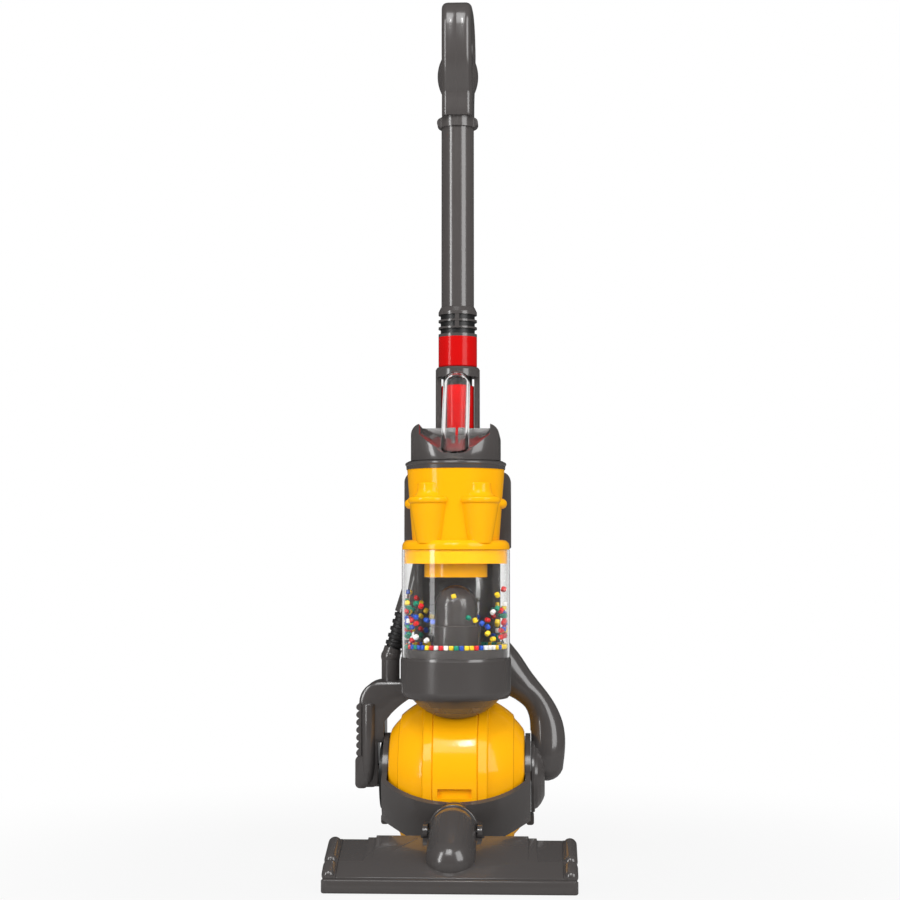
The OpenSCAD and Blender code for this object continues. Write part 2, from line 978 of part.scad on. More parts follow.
module battery_contacts() {
  w = 2 * cell_step + 0.5;
  color(steel)
    in_frame() {
      block([-w, w], [tray_y, tray_y + cell_d], [tray_low, tray_low + contact_t]);
      at_cells()
        translate([0, 0, tray_low + contact_t - eps])
          cylinder(d1 = cell_d * 0.8, d2 = cell_d * 0.45, h = spring_h + eps);
      block([-w, w], [tray_y, tray_y + cell_d], span(cell_foot + cell_h, contact_t));
    }
}

module power_button() {
  color(red)
    in_frame()
      translate([0, tray_y + button_travel + 1, button_z])
        rotate([-90, 0, 0]) {
          cylinder(r = button_r, h = spine_back - tray_y - 1);
          cylinder(r = button_r + 2, h = spine_back - back_skin - tray_y - button_travel - 3);
        }
}

/* Pod, hose and duct */
hub_x = half_w + 0.7 + yoke_wall + free_gap;
pod_hub_r = 9;
pod_top = axle_z + 74;
pod_foot = axle_z + 26;
pod_low = axle_z - 9;
pod_front = -12;
pod_rear = 24;
pod_round = 3.5;
shoulder_r = 17;
arch_r = ball_r + 6;
elbow_x = -pod_reach + 25.6;
elbow_y = 13;

// Places across the pod, measured in from its outer side
pod_edge = pod_reach - 2.6;
pod_in = pod_reach - 17.4;
seat_x = pod_reach - 4.6;
bar_x = pod_reach - 10.4;
bar_r = 5.2;

// The case seen from the front, drawn in by a distance: a round shoulder that runs on to the spine
module pod_outline(less) {
  polygon(concat([[-spine_low, pod_foot + less], [-spine_low, pod_top - less]],
    arc(-pod_edge + shoulder_r, pod_top - shoulder_r, shoulder_r - less, 90, 180, 8),
    [[-pod_edge + less, pod_foot + less]]));
}

// The case with round front and back edges, arched over the ball
module pod_case() {
  difference() {
    hull()
      for (edge = [[0, 1], [0.3, 0.29], [1, 0]])
        through_y(pod_front + edge[0] * pod_round, pod_rear - edge[0] * pod_round)
          pod_outline(edge[1] * pod_round);
    intersection() {
      translate([0, pod_rear + 1, axle_z])
        along_front()
          cylinder(r = arch_r, h = pod_rear - pod_front + 2);
      block([-hub_x, 0], [pod_front - 2, pod_rear + 2], [0, pod_top]);
    }
  }
}

// An upright block with round corners, seen from the front
module round_block(x, y, z, r) {
  through_y(y[0], y[1])
    polygon(concat(arc(x[1] - r, z[0] + r, r, -90, 0, 5), arc(x[1] - r, z[1] - r, r, 0, 90, 5),
      arc(x[0] + r, z[1] - r, r, 90, 180, 5), arc(x[0] + r, z[0] + r, r, 180, 270, 5)));
}

bar_low = axle_z - 5;
bar_high = axle_z + 57;

// A raised upright bar with a tapered foot
module pod_bar() {
  translate([-bar_x, pod_front + 1.8, 0])
    rotate_extrude()
      polygon(concat([[0, bar_low], [1.5, bar_low + 0.4], [3.2, bar_low + 3], [4.4, bar_low + 8],
        [bar_r, bar_low + 16]], arc(bar_r - 2, bar_high - 2, 2, 0, 90, 4), [[0, bar_high]]));
}

strip_low = axle_z + 15.4;
strip_high = axle_z + 56.8;
strip_bumps = 7;

module side_pod() {
  color(grey)
    in_frame()
      difference() {
        union() {
          pod_case();
          round_block([-pod_edge + 0.5, -pod_in], [pod_front + 1, pod_hub_r + 5], [pod_low + 0.8, pod_foot + 6], 4);
          round_block([-pod_reach, -pod_reach + 10], [pod_front - 0.6, pod_hub_r + 3], [pod_low, strip_low + 0.6], 3.6);
          pod_bar();
          translate([-pod_reach + 1, 0, axle_z])
            along_x()
              cylinder(r = pod_hub_r, h = pod_reach - 1 - hub_x);
        }
        translate([-pod_reach + 4, 0, axle_z])
          along_x()
            cylinder(r = axle_r + run_fit, h = pod_reach);
        block([-pod_reach - 1, -seat_x], [pod_front - 2, pod_rear - 7], [strip_low, strip_high]);
      }
}

// A strip of round bumps along the pod's outer edge
module pod_grip_strip() {
  pitch = (strip_high - strip_low) / strip_bumps;
  bump_r = pitch * 0.44;
  back = pod_rear - 7;
  front = pod_front - 0.4;
  color(grey)
    in_frame()
      difference() {
        union() {
          block([-seat_x - 1.6, -seat_x], [front, back], [strip_low, strip_high]);
          for (i = [0:strip_bumps - 1])
            translate([-pod_reach + 0.6 + bump_r, front, strip_low + (i + 0.5) * pitch])
              rotate([-90, 0, 0])
                cylinder(r = bump_r, h = back - front);
        }
        block([-seat_x, 0], [front - 1, back + 1], [strip_low - 1, strip_high + 1]);
      }
}

hose_r = 7.2;
hose_bore = 4.6;
hose_lean = 17.5;
knee_z = pod_top + 18;
knee_run = 7;
hose_ribs = 5;
rib_pitch = 5.8;
hose_l = hose_ribs * rib_pitch;
port_run = 52;

// Follows the hose's leaning axis from the knee of the elbow
module on_hose(s) {
  translate([elbow_x, elbow_y, knee_z])
    rotate([0, hose_lean, 0])
      translate([0, 0, s])
        children();
}

module hose_elbow() {
  color(grey)
    in_frame()
      difference() {
        union() {
          translate([elbow_x, elbow_y, pod_top])
            cylinder(r = hose_r, h = knee_z - pod_top);
          translate([elbow_x, elbow_y, knee_z])
            sphere(r = hose_r + 0.5);
          on_hose(0)
            cylinder(r = hose_r, h = knee_run);
        }
        on_hose(0)
          cylinder(r = hose_bore, h = knee_run + 1);
      }
}

module ribbed_hose() {
  color(black)
    in_frame()
      on_hose(knee_run)
        rotate_extrude()
          polygon(concat([[hose_bore, 0]],
            [for (i = [0:hose_ribs - 1]) for (p = [[hose_r - 1.3, 0], [hose_r - 1.3, 1.4], [hose_r - 0.1, 1.9],
              [hose_r + 0.2, rib_pitch - 1.3], [hose_r - 1.3, rib_pitch - 0.8]]) [p[0], p[1] + i * rib_pitch]],
            [[hose_r - 1.3, hose_l], [hose_bore, hose_l]]));
}

// A socket on the hose's axis that runs into the side of the spine
module hose_port() {
  color(grey)
    in_frame()
      difference() {
        on_hose(knee_run + hose_l)
          cylinder(r = hose_r + 0.6, h = port_run);
        spine_block(0);
        nest();
      }
}

// Centre line of the duct, from the spine down to the hub
duct_path = [[26, 8, axle_z + 92], [36, 8, axle_z + 83], [45, 8.5, axle_z + 74.5], [53.5, 8.5, axle_z + 67],
  [61.2, 7.5, axle_z + 59], [66.6, 6, axle_z + 49.5], [69.6, 4, axle_z + 39], [70.4, 2, axle_z + 29],
  [70, 0, axle_z + 19], [69.2, 0, axle_z + 10]];
duct_width = [1.37, 1.23, 1.03, 0.84, 0.76, 0.83, 0.94, 1.0, 1.0, 0.98];
duct_depth = 12;
duct_sides = 28;
duct_rings = 27;

function open_at(p, t) =
  let (
    last = len(p) - 1,
    i = min(floor(t), last - 1),
    f = t - i,
    a = p[max(i - 1, 0)],
    b = p[i],
    d = p[i + 1],
    e = p[min(i + 2, last)]
  )
  b + (d - a) * f / 2 + (2 * a - 5 * b + 4 * d - e) * f * f / 2 + (3 * b - 3 * d + e - a) * f * f * f / 2;

// One ring of points round a place, square to a direction and no deeper than the spine allows
function ring_points(c, dir, r) =
  let (across = unit(cross([0, 1, 0], dir)), up = cross(dir, across), deep = min(r, duct_depth))
  [for (i = [0:duct_sides - 1]) let (a = 360 * i / duct_sides) c + r * cos(a) * across + deep * sin(a) * up];

function duct_direction(t, last) =
  let (h = 0.02)
  unit(open_at(duct_path, min(t + h, last)) - open_at(duct_path, max(t - h, 0)));

// A round tube of changing width swept along the centre line, closed by a round end
module duct_sweep() {
  last = len(duct_path) - 1;
  sides = duct_sides;
  tip = duct_path[last];
  tip_dir = duct_direction(last, last);
  rings = concat(
    [for (k = [0:duct_rings])
      let (t = k * last / duct_rings)
      ring_points(open_at(duct_path, t), duct_direction(t, last), duct_r * open_at(duct_width, t))],
    [for (b = [15:15:75]) ring_points(tip + tip_dir * duct_r * sin(b), tip_dir, duct_r * cos(b))]);
  rows = len(rings) - 1;
  points = [for (r = rings) each r];
  walls = [for (k = [0:rows - 1]) for (i = [0:sides - 1])
    let (j = (i + 1) % sides, a = k * sides + i, b = k * sides + j)
    each [[a, a + sides, b], [b, a + sides, b + sides]]];
  ends = [[for (i = [0:sides - 1]) i], [for (i = [sides - 1:-1:0]) rows * sides + i]];
  polyhedron(points, concat(walls, ends), convexity = 4);
}

duct_hub_r = 25.5;
duct_hub_h = 10.6;
hub_flange = 2.5;
hub_flange_h = 3;

// The hub is a flange under a shallow dome
module hub_body() {
  translate([hub_x, 0, axle_z])
    along_x()
      rotate_extrude()
        polygon([[0, 0], [duct_hub_r + hub_flange - 0.6, 0], [duct_hub_r + hub_flange, 0.6],
          [duct_hub_r + hub_flange, hub_flange_h - 0.6], [duct_hub_r + hub_flange - 0.6, hub_flange_h],
          [duct_hub_r, hub_flange_h], [duct_hub_r - 1, hub_flange_h + 2], [duct_hub_r - 4, hub_flange_h + 4.6],
          [duct_hub_r - 7.5, duct_hub_h - 1.1], [duct_hub_r - 10.5, duct_hub_h], [0, duct_hub_h]]);
}

module air_duct() {
  color(grey)
    in_frame()
      difference() {
        duct_sweep();
        block([-100, hub_x + hub_flange_h], [-50, 50], [0, axle_z]);
        hub_body();
        translate([half_w - 3, 0, axle_z])
          along_x()
            cylinder(r = arm_r + 2, h = hub_x - half_w + 3);
        spine_block(0);
        nest();
      }
}

module duct_hub() {
  color(grey)
    in_frame()
      difference() {
        hub_body();
        translate([hub_x - 1, 0, axle_z])
          along_x()
            cylinder(r = axle_r + run_fit, h = 8.5);
      }
}

/* Neck values shared by the yoke, the collar and the elbow */
socket_r = elbow_r + 0.5;
collar_back = 9;
collar_out = sqrt(pow(socket_r, 2) - pow(collar_back, 2)) + collar_t;
collar_front = pin_reach - collar_back;
ear_x = elbow_r + 0.7;
ear_t = 3.4;
ear_r = 5.4;

/* Yoke and ball */
arm_in = half_w + 0.7;
arm_out = arm_in + yoke_wall;
bowl_in = ball_r + yoke_gap;
bowl_out = bowl_in + yoke_wall;
bowl_end = 12;
neck_face = bowl_out + 0.4;
spigot_r = 11;
spigot_l = 5.2;
neck_boss_r = collar_out + 0.4;
rim_level = 24;
lug_t = 2.6;

// The bowl is part of a sphere: its rim falls to the front and its lower corners are cut away
module yoke_bowl() {
  intersection() {
    translate([0, 0, axle_z])
      sphere(r = bowl_out);
    across_x(-arm_out, arm_out)
      polygon([[bowl_end, bowl_z], [bowl_end, rim_side_z], [-rim_level, rim_side_z],
        [-bowl_out, rim_front_z], [-bowl_out, bowl_z]]);
    through_y(-bowl_out - 1, bowl_end + 1)
      polygon([[-24, bowl_z - 1], [24, bowl_z - 1], [36, bowl_z + 5], [arm_out + 1, bowl_z + 16],
        [arm_out + 1, rim_side_z + 1], [-arm_out - 1, rim_side_z + 1], [-arm_out - 1, bowl_z + 16],
        [-36, bowl_z + 5]]);
  }
}

module yoke() {
  color(grey)
    in_frame()
      difference() {
        union() {
          yoke_bowl();
          for (x = [-arm_out, arm_in])
            translate([x, 0, axle_z])
              along_x()
                cylinder(r = arm_r, h = yoke_wall);
          for (side = [0, 1])
            mirror([side, 0, 0])
              round_block([arm_in + 0.5, arm_out + lug_t], [-9, 9], [bowl_z + 9, axle_z - arm_r + 4], 2);
          translate([0, -bowl_in * 0.8, neck_z])
            along_front()
              cylinder(r = neck_boss_r, h = neck_face - bowl_in * 0.8);
          translate([0, -bowl_in * 0.8, neck_z])
            along_front()
              cylinder(r = spigot_r, h = neck_face + spigot_l - bowl_in * 0.8);
        }
        intersection() {
          translate([0, 0, axle_z])
            sphere(r = bowl_in);
          block([-arm_in, arm_in], [-ball_d, ball_d], [0, 2 * ball_d]);
        }
        translate([-100, 0, axle_z])
          along_x()
            cylinder(r = axle_r + seat_fit, h = 200);
      }
}

module ball_axle() {
  left = pod_reach - 4.4;
  right = hub_x + 7;
  color(steel)
    in_frame()
      translate([-left, 0, axle_z])
        along_x()
          cylinder(r = axle_r, h = left + right);
}

band_r_in = ball_r - 6;
groove = 0.7;
recess_w = 25.6;
recess_h = 7;

module ball_center_band() {
  w = band_w / 2 - 0.1;
  color(yellow)
    in_frame()
      translate([0, 0, axle_z])
        difference() {
          along_x()
            rotate_extrude()
              polygon([[band_r_in, -w], [ball_r - groove, -w], [ball_r, -w + groove], [ball_r, w - groove],
                [ball_r - groove, w], [band_r_in, w]]);
          rotate([5.5, 0, 0])
            block([-recess_w / 2, recess_w / 2], [-ball_d, -ball_r + 2.6], [-recess_h / 2, recess_h / 2]);
        }
}

function ball_at(x, r) = sqrt(r * r - x * x);

bush_r = axle_r + 3;
rim_step = half_w - 8.6;
rib_reach = ball_r + 1.6;

// Half of the ball: a rib, a round shoulder with a step, a flat end wall and a spigot under the band
module ball_shell() {
  x0 = band_w / 2;
  x1 = x0 + rib_w;
  r_out = ball_r - 0.6;
  round_n = 10;
  spigot = band_r_in - seat_fit;
  color(yellow)
    in_frame()
      translate([0, 0, axle_z])
        along_x()
          rotate_extrude()
            polygon(concat([[spigot, x0 - 5], [spigot, x0], [ball_at(x0, rib_reach) - groove, x0],
              [ball_at(x0 + groove, rib_reach), x0 + groove], [ball_at(x1 - groove, rib_reach), x1 - groove],
              [ball_at(x1, rib_reach) - groove, x1]],
              [for (i = [0:round_n]) let (x = x1 + 0.6 + (rim_step - x1 - 0.6) * i / round_n) [ball_at(x, r_out), x]],
              [for (i = [0:4]) let (x = rim_step + 0.8 + (half_w - rim_step - 1.8) * i / 4) [ball_at(x, r_out - 1.4), x]],
              [[ball_at(half_w, r_out - 1.4) - 1.2, half_w], [bush_r + seat_fit, half_w],
                [bush_r + seat_fit, half_w - ball_wall]],
              [for (i = [0:round_n]) let (x = half_w - ball_wall - (half_w - ball_wall - x0 - 2) * i / round_n)
                [ball_at(x, r_out - ball_wall - 1.5) - 1, x]],
              [[spigot - ball_wall, x0 - 5]]));
}

module ball_right_shell() {
  ball_shell();
}

module ball_left_shell() {
  mirror([1, 0, 0])
    ball_shell();
}

module ball_bushes() {
  color(black)
    in_frame()
      for (side = [0, 1])
        mirror([side, 0, 0])
          translate([half_w - ball_wall - 2, 0, axle_z])
            along_x()
              difference() {
                union() {
                  cylinder(r = bush_r, h = ball_wall + 2);
                  cylinder(r = bush_r + 2, h = 2);
                }
                translate([0, 0, -1])
                  cylinder(r = axle_r + run_fit, h = ball_wall + 4);
              }
}

/* Neck and floor head */
// A cup round the back of the elbow, with an ear for a pin on each side
module neck_collar() {
  color(grey)
    in_frame()
      translate([0, 0, neck_z])
        difference() {
          union() {
            along_front()
              translate([0, 0, neck_face + free_gap])
                rotate_extrude()
                  polygon(concat([[0, 0], [collar_out - 1, 0], [collar_out, 1]],
                    [[collar_out, collar_front - neck_face - free_gap - 1.4]],
                    arc(collar_out - 0.3, collar_front - neck_face - free_gap - 0.9, 0.9, 0, 90, 4),
                    [[0, collar_front - neck_face - free_gap]]));
            for (side = [0, 1])
              mirror([side, 0, 0]) {
                translate([ear_x, -pin_reach, 0])
                  along_x()
                    cylinder(r = ear_r, h = ear_t);
                block([ear_x, ear_x + ear_t], [-pin_reach, -neck_face - free_gap - 1], [-ear_r, ear_r]);
                block([13, ear_x + 1], [-collar_front + 1.5, -neck_face - free_gap - 1], [-ear_r, ear_r]);
              }
          }
          translate([0, -pin_reach, 0])
            sphere(r = socket_r);
          along_front()
            cylinder(r = spigot_r + run_fit, h = collar_front);
          translate([-50, -pin_reach, 0])
            along_x()
              cylinder(r = neck_pin_d / 2 + seat_fit, h = 100);
        }
}

module neck_pins() {
  inner = elbow_r - 6;
  color(black)
    in_frame()
      for (side = [0, 1])
        mirror([side, 0, 0])
          translate([inner, -pin_reach, neck_z])
            along_x()
              cylinder(d = neck_pin_d, h = ear_x + ear_t - inner - 1.6);
}

lip_back = head_reach - 4;
crease_y = head_reach - 22;

// Outline of the head seen from the side, from the sole plate up, lowered and drawn in by a wall
module head_profile(less = 0, up = 0) {
  polygon([[-lip_back + less, sole_t], [-lip_back + less, lip_h + 1 - less], [-crease_y, crease_h - less],
    [-head_back - 1.5 - less, back_h + up - less], [-head_back - less, back_h + up - 1.5 - less],
    [-head_back - less, sole_t]]);
}

cap_w = 10.4;
body_half = head_w / 2 - cap_w;
step_w = 6;

// The outside of the head: the low body and the middle, which rises in two steps
module head_body() {
  across_x(-body_half, body_half)
    head_profile();
  across_x(-raise_w / 2 - step_w, raise_w / 2 + step_w)
    head_profile(0, raise_h / 2);
  across_x(-raise_w / 2, raise_w / 2)
    head_profile(0, raise_h);
}

// Keeps the head clear of the neck collar's ears while it tilts
module ear_clearance() {
  translate([-ear_x - ear_t - 1, -pin_reach, neck_z])
    along_x()
      cylinder(r = ear_r + 1, h = 2 * (ear_x + ear_t + 1));
}

module head_top_shell() {
  color(grey)
    in_frame()
      difference() {
        head_body();
        across_x(-body_half + head_wall, body_half - head_wall)
          translate([0, -head_wall])
            head_profile(head_wall);
        ear_clearance();
      }
}

nose = [0, -pin_reach - 32.5, neck_z - 16];
nose_r = elbow_r + 0.4;

// The elbow runs from its round end between the pins down into the head's slope
module neck_elbow() {
  color(grey)
    in_frame()
      difference() {
        union() {
          hull() {
            translate([0, -pin_reach, neck_z])
              sphere(r = elbow_r, $fn = 44);
            translate(nose)
              sphere(r = nose_r, $fn = 44);
          }
        }
        head_body();
        block([-50, 50], [-head_back, 0], [0, neck_z - 8]);
        block([-50, 50], [-head_reach, 0], [-10, sole_t + 9]);
        for (side = [0, 1])
          mirror([side, 0, 0])
            translate([elbow_r - 6 - 0.5, -pin_reach, neck_z])
              along_x()
                cylinder(r = neck_pin_d / 2 + run_fit, h = 20);
      }
}

bumper_z = 0.6;

// The bumper covers the front edge of the sole plate and has round ends
module head_bumper() {
  r = 5;
  w = head_w / 2;
  color(grey)
    in_frame()
      intersection() {
        linear_extrude(lip_h + 1)
          polygon(concat([[w, -lip_back], [-w, -lip_back]], arc(-w + r, -head_reach + r, r, 180, 270, 5),
            arc(w - r, -head_reach + r, r, 270, 360, 5)));
        across_x(-w - 1, w + 1)
          polygon([[-lip_back, bumper_z], [-head_reach + 0.8, bumper_z], [-head_reach, bumper_z + 1],
            [-head_reach, lip_h - 2], [-head_reach + 0.6, lip_h - 0.6], [-head_reach + 2, lip_h],
            [-lip_back, lip_h]]);
        round_block([-w - 0.5, w + 0.5], [-head_reach - 1, -lip_back + 1], [bumper_z - 1, lip_h + 0.5], 4);
      }
}

roll_r = 5;
roll_rise = 3.2;

// Height of the top's slopes at a distance in front of the axle
function slope_z(reach) =
  reach > crease_y ? crease_h + (lip_h + 1 - crease_h) * (reach - crease_y) / (lip_back - crease_y)
    : crease_h + (back_h - crease_h) * (crease_y - reach) / (crease_y - head_back - 1.5);

// Two rolled lumps, one beside each slope of the top, over a plain end wall
module head_end_cap() {
  x = head_w / 2 - roll_r;
  difference() {
    union() {
      across_x(body_half, body_half + cap_w - 1.2)
        head_profile();
      for (run = [[lip_back - 5, crease_y + 4], [crease_y - 4.5, head_back + 5]])
        hull()
          for (reach = run)
            translate([x, -reach, slope_z(reach) + roll_rise - roll_r])
              sphere(r = roll_r, $fn = 24);
    }
    block([0, body_half], [-head_reach, 0], [0, 60]);
    block([0, head_w], [-head_reach - 5, 0], [-10, sole_t]);
    block([0, head_w], [-head_reach - 5, -lip_back], [0, 60]);
  }
}

module head_end_cap_right() {
  color(grey)
    in_frame()
      head_end_cap();
}

module head_end_cap_left() {
  color(grey)
    in_frame()
      mirror([1, 0, 0])
        head_end_cap();
}

slot_w = 120;
slot_d = 16;

module head_sole_plate() {
  inset_d = 1;
  color(black)
    in_frame()
      difference() {
        block([-head_w / 2 + inset_d, head_w / 2 - inset_d], [-lip_back, -head_back - inset_d], [0, sole_t]);
        block([-slot_w / 2, slot_w / 2], span(-crease_y - 6 - slot_d / 2, slot_d), [-1, sole_t + 1]);
      }
}

handle_left_shell();
handle_right_shell();
handle_collar();
wand_tube();
wand_collar();
release_cuff();
wand_socket();
wand_stem();
carry_handle();
top_cover();
cyclone_rim();
cyclone_body();
bin_lid();
bin_inlet_collar();
bin_cylinder();
bin_floor();
bin_dome();
bin_base();
motor();
motor_shaft();
impeller();
beads(0);  // beads_red
beads(1);  // beads_blue
beads(2);  // beads_green
beads(3);  // beads_yellow
beads(4);  // beads_white
back_spine();
spine_back_panel();
battery_cover();
battery_cells();
battery_contacts();
cover_screws();
power_button();
side_pod();
pod_grip_strip();
hose_elbow();
ribbed_hose();
hose_port();
air_duct();
duct_hub();
yoke();
ball_axle();
ball_center_band();
ball_left_shell();
ball_right_shell();
ball_bushes();
neck_collar();
neck_pins();
neck_elbow();
head_top_shell();
head_bumper();
head_end_cap_left();
head_end_cap_right();
head_sole_plate();
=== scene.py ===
"""Looks of a toy upright vacuum cleaner: finishes, soft edges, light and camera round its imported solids."""

import math

import bpy
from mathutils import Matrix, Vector


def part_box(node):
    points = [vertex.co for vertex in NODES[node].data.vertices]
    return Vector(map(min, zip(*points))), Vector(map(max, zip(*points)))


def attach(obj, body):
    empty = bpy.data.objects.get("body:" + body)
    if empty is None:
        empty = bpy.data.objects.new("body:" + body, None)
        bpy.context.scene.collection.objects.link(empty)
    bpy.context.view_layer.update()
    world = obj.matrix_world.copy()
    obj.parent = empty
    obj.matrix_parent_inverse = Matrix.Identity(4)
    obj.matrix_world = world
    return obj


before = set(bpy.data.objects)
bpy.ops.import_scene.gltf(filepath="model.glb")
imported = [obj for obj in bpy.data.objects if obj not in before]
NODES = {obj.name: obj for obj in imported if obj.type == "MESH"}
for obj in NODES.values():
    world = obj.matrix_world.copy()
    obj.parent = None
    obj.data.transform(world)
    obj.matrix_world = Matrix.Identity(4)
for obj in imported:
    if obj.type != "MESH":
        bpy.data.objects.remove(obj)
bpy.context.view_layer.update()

MM = 0.001

# Linear colours of the materials
GREY = (0.064, 0.058, 0.056)
YELLOW = (1.0, 0.44, 0.004)
RED = (0.55, 0.004, 0.004)
BLACK = (0.010, 0.010, 0.010)
RUBBER = (0.016, 0.015, 0.015)
STEEL = (0.66, 0.66, 0.68)
CLEAR = (0.97, 0.97, 0.965)
CLEAR_SHADOW = (0.93, 0.93, 0.93)
WHITE = (1.0, 1.0, 1.0)
FLOOR_PAINT = (0.32, 0.32, 0.32)
BEADS = {
    "bead_red": (0.62, 0.012, 0.016),
    "bead_blue": (0.012, 0.075, 0.46),
    "bead_green": (0.0, 0.21, 0.125),
    "bead_yellow": (0.86, 0.60, 0.015),
    "bead_white": (0.86, 0.85, 0.82),
}

# Noise in the finishes: how many of its cells go into a metre
FLOW_SCALE = 28.0
GLOSS_SCALE = 90.0
GRAIN_SCALE = 1400.0
PELLET_SCALE = 900.0
SCUFF_SCALE = 60.0
STREAK_SCALE = 700.0

# Optics of the finishes, and the range of each roughness or of a bead's tint
PLASTIC_IOR = 1.5
CLEAR_IOR = 1.28
COAT_ROUGHNESS = 0.06
GRAIN_DEPTH = 0.02 * MM
GLOSS_SPREAD = 0.05
STREAK_SPREAD = 0.08
SCUFF_ROUGHNESS = (0.01, 0.05)
BEAD_ROUGHNESS = (0.16, 0.34)
BEAD_TINT = (0.82, 1.12)

# Sockets of a Mix node for colours: the two that go in, and the one that comes out
MIX_LOW = 6
MIX_HIGH = 7
MIX_RESULT = 2


def rgba(colour, gain=1.0):
    """A colour times a gain, with full cover."""
    return tuple(min(1.0, c * gain) for c in colour) + (1.0,)


class Nodes:
    """A material's node tree with short calls for making and linking nodes."""

    def __init__(self, name):
        self.material = bpy.data.materials.new(name)
        self.material.use_nodes = True
        self.tree = self.material.node_tree
        self.tree.nodes.clear()
        self.place = self.add("TexCoord").outputs["Object"]

    def add(self, kind, **values):
        node = self.tree.nodes.new("ShaderNode" + kind)
        for key, value in values.items():
            if key in node.inputs:
                node.inputs[key].default_value = value
            else:
                setattr(node, key, value)
        return node

    def link(self, source, target):
        self.tree.links.new(source, target)

    def noise(self, scale, detail=3.0):
        node = self.add("TexNoise", Scale=scale, Detail=detail)
        self.link(self.place, node.inputs["Vector"])
        return node.outputs["Fac"]

    def ramp(self, factor, low, high):
        """Maps a factor to a number between low and high."""
        node = self.add("MapRange", **{"To Min": low, "To Max": high})
        self.link(factor, node.inputs["Value"])
        return node.outputs["Result"]

    def tint(self, factor, colour, low, high):
        """Maps a factor to a colour between two of its gains."""
        node = self.add("Mix", data_type="RGBA")
        node.inputs[MIX_LOW].default_value = rgba(colour, low)
        node.inputs[MIX_HIGH].default_value = rgba(colour, high)
        self.link(factor, node.inputs["Factor"])
        return node.outputs[MIX_RESULT]

    def mix(self, factor, first, second):
        """Mixes two shaders by a factor."""
        node = self.add("MixShader")
        self.link(factor, node.inputs["Fac"])
        self.link(first, node.inputs[1])
        self.link(second, node.inputs[2])
        return node.outputs["Shader"]

    def close(self, shader):
        output = self.add("OutputMaterial")
        self.link(shader, output.inputs["Surface"])
        return self.material


def moulded(name, colour, rough, grain, flow=0.05, coat=0.0, mirror=0.5):
    """Moulded plastic: faint flow marks in its colour, uneven gloss and a fine grain."""
    n = Nodes(name)
    shader = n.add("BsdfPrincipled", IOR=PLASTIC_IOR)
    shader.inputs["Coat Weight"].default_value = coat
    shader.inputs["Coat Roughness"].default_value = COAT_ROUGHNESS
    shader.inputs["Specular IOR Level"].default_value = mirror
    marks = n.tint(n.noise(FLOW_SCALE, detail=4.0), colour, 1.0 - flow, 1.0 + flow)
    n.link(marks, shader.inputs["Base Color"])
    gloss = n.ramp(n.noise(GLOSS_SCALE), rough - GLOSS_SPREAD, rough + GLOSS_SPREAD)
    n.link(gloss, shader.inputs["Roughness"])
    bump = n.add("Bump", Strength=grain, Distance=GRAIN_DEPTH)
    n.link(n.noise(GRAIN_SCALE, detail=2.0), bump.inputs["Height"])
    n.link(bump.outputs["Normal"], shader.inputs["Normal"])
    return n.close(shader.outputs["BSDF"])


def bead(name, colour):
    """Glossy pellets whose tint and gloss differ a little from one to the next."""
    n = Nodes(name)
    island = n.add("NewGeometry").outputs["Random Per Island"]
    shader = n.add("BsdfPrincipled", IOR=PLASTIC_IOR)
    n.link(n.tint(island, colour, *BEAD_TINT), shader.inputs["Base Color"])
    n.link(n.ramp(n.noise(PELLET_SCALE), *BEAD_ROUGHNESS), shader.inputs["Roughness"])
    return n.close(shader.outputs["BSDF"])


def clear(name):
    """Clear plastic with faint scuffs, which lets the lamps through to what it holds."""
    n = Nodes(name)
    glass = n.add("BsdfPrincipled", IOR=CLEAR_IOR)
    glass.inputs["Base Color"].default_value = rgba(CLEAR)
    glass.inputs["Transmission Weight"].default_value = 1.0
    n.link(n.ramp(n.noise(SCUFF_SCALE, detail=5.0), *SCUFF_ROUGHNESS), glass.inputs["Roughness"])
    open_way = n.add("BsdfTransparent", Color=rgba(CLEAR_SHADOW))
    shadow = n.add("LightPath").outputs["Is Shadow Ray"]
    return n.close(n.mix(shadow, glass.outputs["BSDF"], open_way.outputs["BSDF"]))


def brushed(name, colour, rough):
    """Plain turned steel with fine streaks."""
    n = Nodes(name)
    shader = n.add("BsdfPrincipled", **{"Base Color": rgba(colour), "Metallic": 1.0})
    streaks = n.ramp(n.noise(STREAK_SCALE), rough - STREAK_SPREAD, rough + STREAK_SPREAD)
    n.link(streaks, shader.inputs["Roughness"])
    return n.close(shader.outputs["BSDF"])


MATERIALS = {
    "grey_plastic": moulded("grey_plastic", GREY, 0.22, grain=0.02, coat=0.5),
    "yellow_plastic": moulded("yellow_plastic", YELLOW, 0.24, grain=0.02, flow=0.03, coat=0.3, mirror=0.06),
    "red_plastic": moulded("red_plastic", RED, 0.24, grain=0.02, flow=0.04, coat=0.2, mirror=0.08),
    "black_plastic": moulded("black_plastic", BLACK, 0.4, grain=0.12),
    "black_rubber": moulded("black_rubber", RUBBER, 0.5, grain=0.2),
    "clear_plastic": clear("clear_plastic"),
    "steel": brushed("steel", STEEL, 0.28),
}
for bead_name, bead_colour in BEADS.items():
    MATERIALS[bead_name] = bead(bead_name, bead_colour)


def dress(obj):
    """Gives a solid the finish of the record's slot that it was packed with."""
    slot = obj.data.materials[0].name.split(".")[0]
    obj.data.materials[0] = MATERIALS[slot]


for solid in NODES.values():
    dress(solid)

# The slots of the ribbed collar and the gap under the fork's ring get black plastic inside as painted shade.
# The radii from the wand's axis and the heights that bound them are in millimetres.
WAND_Y = 45.0
PAINTED_SHADE_SPANS = {
    "wand_collar": ((13.3, 14.9), (412.3, 427.7)),
    "wand_socket": ((11.0, 12.2), (370.5, 378.5)),
}


